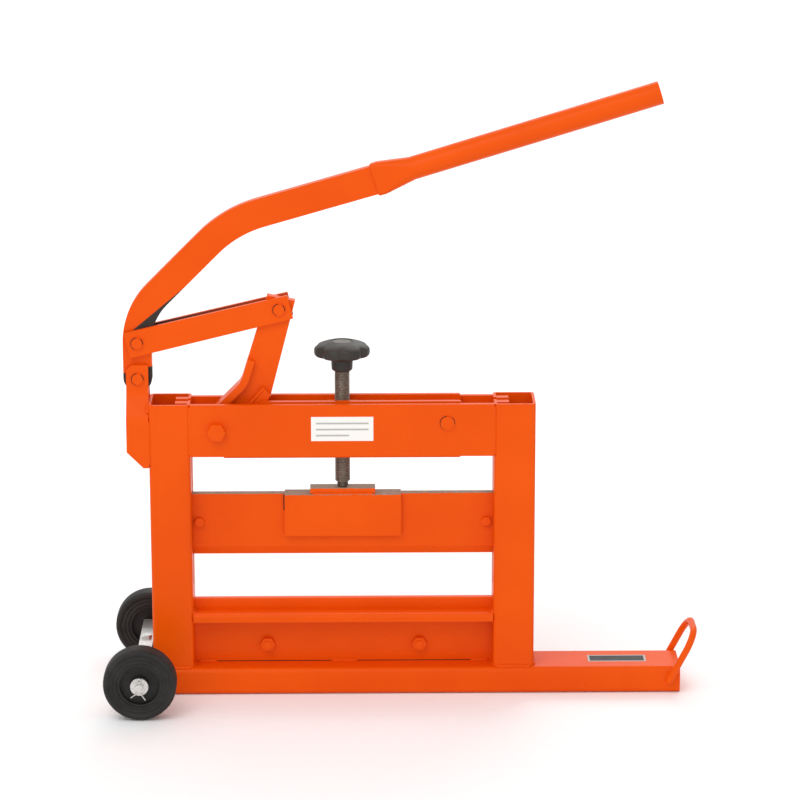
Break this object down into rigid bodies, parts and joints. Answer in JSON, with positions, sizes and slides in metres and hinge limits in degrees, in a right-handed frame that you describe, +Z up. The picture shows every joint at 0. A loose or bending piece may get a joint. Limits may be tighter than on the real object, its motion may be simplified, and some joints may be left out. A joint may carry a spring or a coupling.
{
  "type": "hand lever block splitter",
  "caption": "Hand-lever block splitter: welded portal frame with a raised lever, linkage, spindle-set upper blade over a fixed lower blade, tow handle and wheels.",
  "frame": {"origin": "on the sole of the base rail, on the spindle axis midway between the columns and in the plane of both blades", "axes": "+X along the base rail from the wheels to the tow handle, +Z up, -Y is the front with the lever's bolt heads"},
  "size_m": [0.8677, 0.327, 0.9036],
  "materials": {
    "orange_paint": "glossy sprayed orange enamel over welded steel",
    "blade_steel": "bare brown-grey steel with light rust bloom",
    "dark_steel": "dark oiled steel",
    "zinc_plate": "bright zinc plate",
    "black_plastic": "matt moulded black plastic",
    "tyre_rubber": "matt black solid rubber"
  },
  "bodies": {
    "frame": {"base_rail": "orange_paint", "rail_end_caps": "orange_paint", "left_column": "orange_paint", "right_column": "orange_paint", "left_guide_bars": "orange_paint", "right_guide_bars": "orange_paint", "head_plate_front": "orange_paint", "head_plate_rear": "orange_paint", "tower_cheek_front": "orange_paint", "tower_cheek_rear": "orange_paint", "lower_web": "orange_paint", "lower_flange": "orange_paint", "lower_blade": "orange_paint", "web_brackets": "orange_paint", "web_bolts": "orange_paint", "web_nuts": "orange_paint", "tow_handle": "orange_paint", "axle": "zinc_plate", "axle_bolts": "zinc_plate", "axle_washers": "zinc_plate", "split_pins": "zinc_plate", "lever_pin": "orange_paint", "lever_pin_rings": "orange_paint", "crank_bolt": "orange_paint", "crank_nut": "orange_paint", "crank_spacers": "dark_steel", "beam_pin": "orange_paint", "beam_pin_washers": "dark_steel"},
    "near_wheel": {"near_wheel_hub": "black_plastic", "near_tyre": "tyre_rubber"},
    "far_wheel": {"far_wheel_hub": "black_plastic", "far_tyre": "tyre_rubber"},
    "lever": {"lever_bar": "orange_paint", "lever_pipe": "orange_paint"},
    "links": {"link_front": "orange_paint", "link_rear": "orange_paint", "link_lower_pin": "orange_paint", "link_upper_pin": "orange_paint", "link_pin_rings": "orange_paint"},
    "crank": {"crank_web": "orange_paint", "crank_ribs": "orange_paint", "crank_bosses": "orange_paint", "crank_heels": "orange_paint"},
    "pressure_beam": {"press_plate_front": "orange_paint", "press_plate_rear": "orange_paint", "press_pin": "dark_steel", "press_spacers": "orange_paint"},
    "nut": {"spindle_nut": "orange_paint"},
    "blade_carriage": {"upper_blade": "orange_paint", "saddle_plate_front": "orange_paint", "saddle_plate_rear": "orange_paint", "saddle_cap": "blade_steel", "blade_stop_bolts": "orange_paint", "blade_stop_nuts": "orange_paint"},
    "spindle_group": {"spindle": "dark_steel", "spindle_collar": "dark_steel", "collar_pin": "dark_steel", "knob": "black_plastic"}
  },
  "joints": [
    {"name": "lever_swing", "type": "hinge", "parent": "frame", "child": "lever", "pos_m": [-0.2955, 0, 0.4745], "axis": [0, 1, 0], "range_deg": [0, 28]},
    {"name": "link_swing", "type": "hinge", "parent": "lever", "child": "links", "pos_m": [-0.2955, 0, 0.527], "axis": [0, 1, 0], "range_deg": [-25, 0]},
    {"name": "crank_swing", "type": "hinge", "parent": "frame", "child": "crank", "pos_m": [-0.1815, 0, 0.4005], "axis": [0, 1, 0], "range_deg": [0, 9.5]},
    {"name": "beam_swing", "type": "hinge", "parent": "frame", "child": "pressure_beam", "pos_m": [0.152, 0, 0.412], "axis": [0, 1, 0], "range_deg": [-2, 0]},
    {"name": "nut_slide", "type": "slide", "parent": "frame", "child": "nut", "axis": [0, 0, 1], "range_m": [-0.0052, 0]},
    {"name": "blade_height", "type": "slide", "parent": "nut", "child": "blade_carriage", "axis": [0, 0, 1], "range_m": [-0.04, 0.038]},
    {"name": "spindle_turn", "type": "hinge", "parent": "blade_carriage", "child": "spindle_group", "pos_m": [0, 0, 0.31], "axis": [0, 0, 1], "range_deg": [-5761, 5473]},
    {"name": "near_wheel_spin", "type": "hinge", "parent": "frame", "child": "near_wheel", "pos_m": [-0.2929, -0.134, 0.0535], "axis": [0, 1, 0], "continuous": true},
    {"name": "far_wheel_spin", "type": "hinge", "parent": "frame", "child": "far_wheel", "pos_m": [-0.2929, 0.134, 0.0535], "axis": [0, 1, 0], "continuous": true}
  ],
  "couplings": [
    {"joint": "link_swing", "follows": "lever_swing", "ratio": -0.88544},
    {"joint": "crank_swing", "follows": "lever_swing", "ratio": 0.33238},
    {"joint": "beam_swing", "follows": "lever_swing", "ratio": -0.06762},
    {"joint": "nut_slide", "follows": "lever_swing", "m_per_rad": -0.010277},
    {"joint": "spindle_turn", "follows": "blade_height", "rad_per_m": 2513.3}
  ]
}
